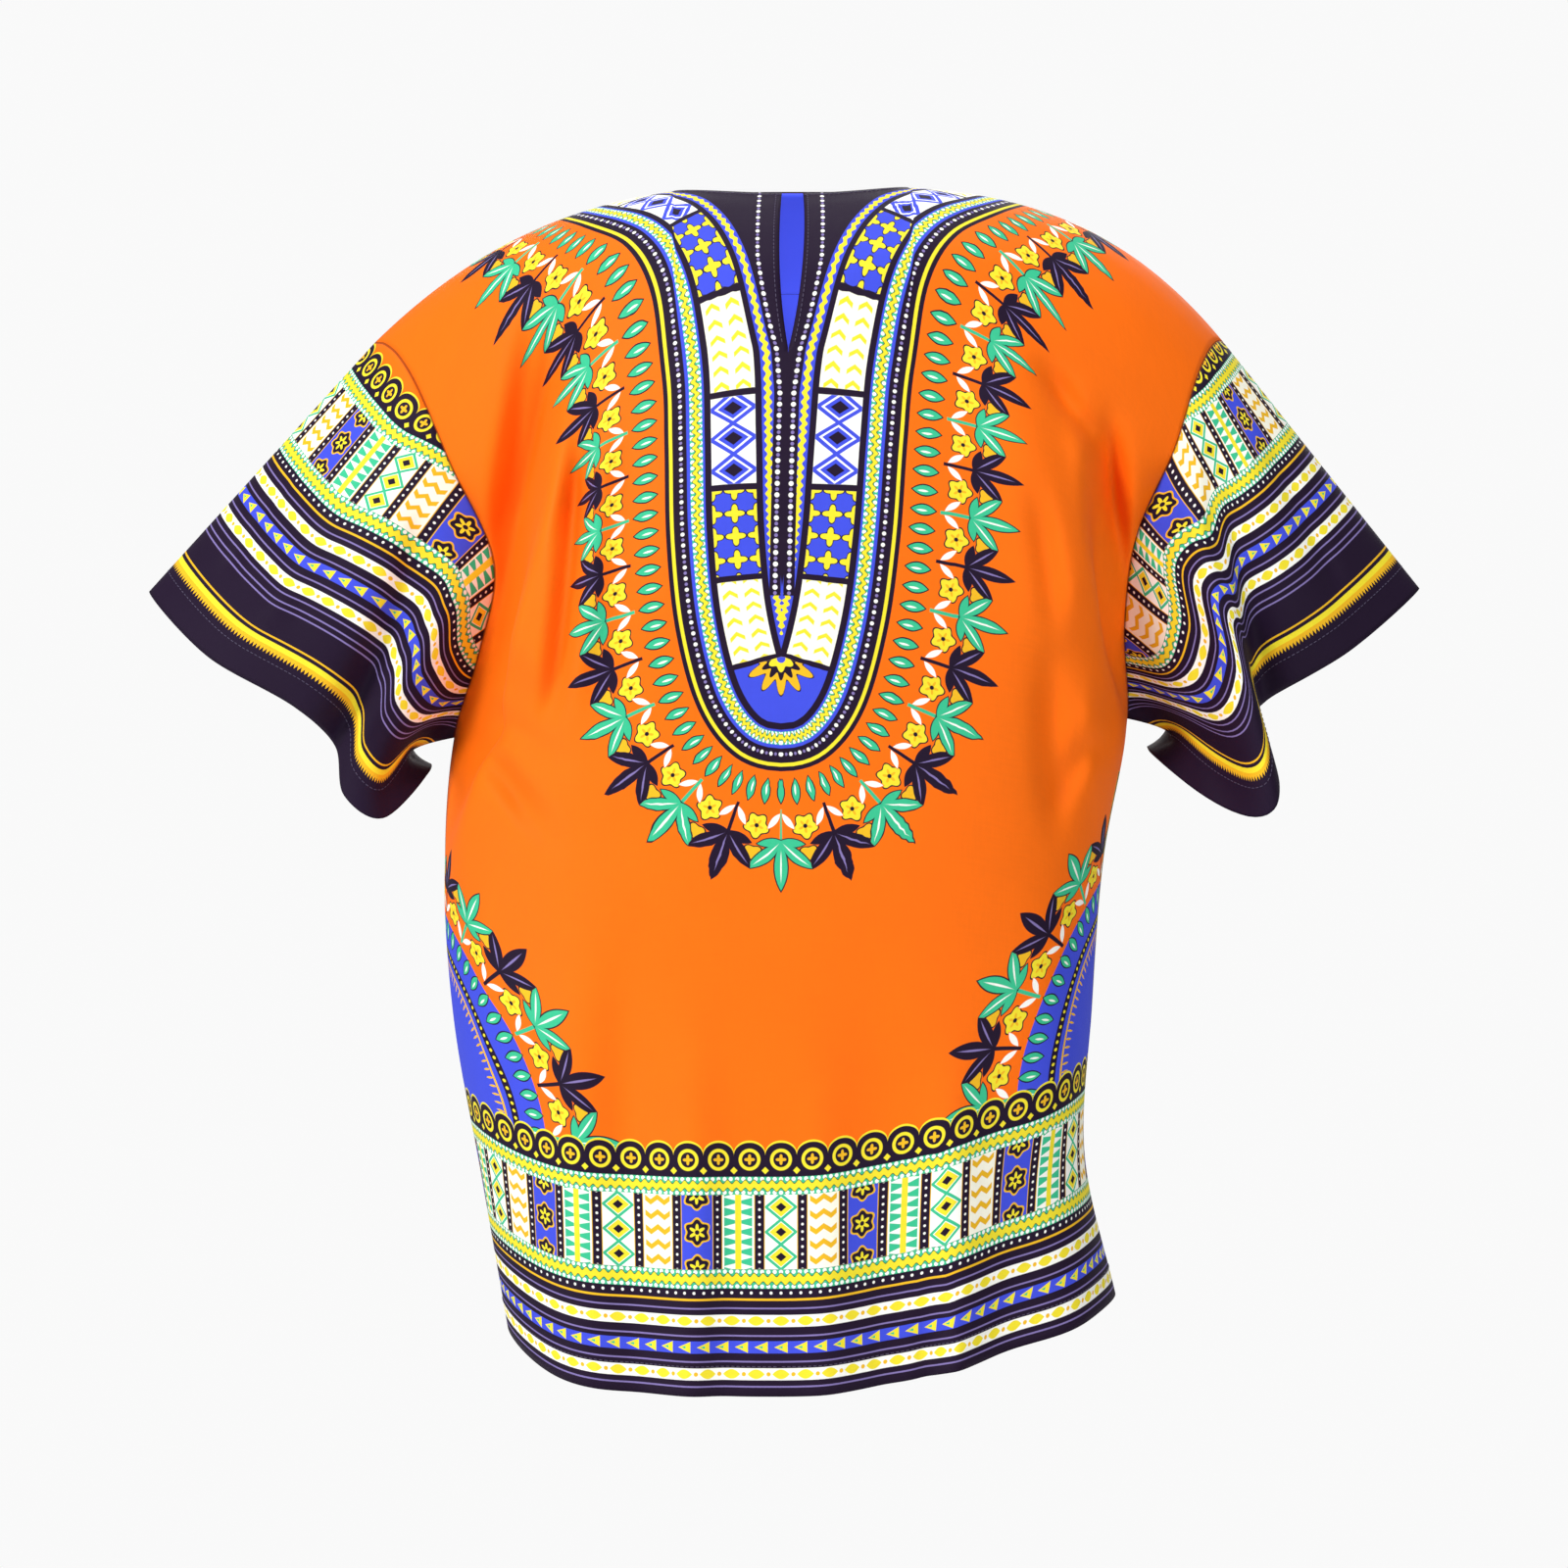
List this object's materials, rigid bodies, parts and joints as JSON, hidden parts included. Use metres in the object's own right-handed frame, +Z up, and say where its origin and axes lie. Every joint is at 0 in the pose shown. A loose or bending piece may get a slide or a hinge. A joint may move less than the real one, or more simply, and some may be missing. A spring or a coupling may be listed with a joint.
{
  "type": "dashiki shirt",
  "caption": "Loose pullover dashiki shirt in orange printed cotton, slit neck and wide short sleeves, in its worn, filled-out form.",
  "frame": {"origin": "middle of the neck opening at shoulder height, on the seam between front and back, where the wearer's shoulders carry the shirt", "axes": "+X to the right as seen from the front, from cuff to cuff; -Y is the way the front faces; +Z up"},
  "size_m": [0.7974, 0.275, 0.7463],
  "materials": {
    "printed_cotton": "smooth plain-weave cotton with a soft polish, orange ground with a block print",
    "border_cotton": "smooth plain-weave cotton with a soft polish, dark banded border print",
    "blue_facing_cotton": "plain royal blue cotton"
  },
  "bodies": {
    "root": {"front": "printed_cotton", "back": "printed_cotton", "sleeve_left": "border_cotton", "sleeve_right": "border_cotton", "back_neck_facing": "blue_facing_cotton"}
  },
  "joints": []
}
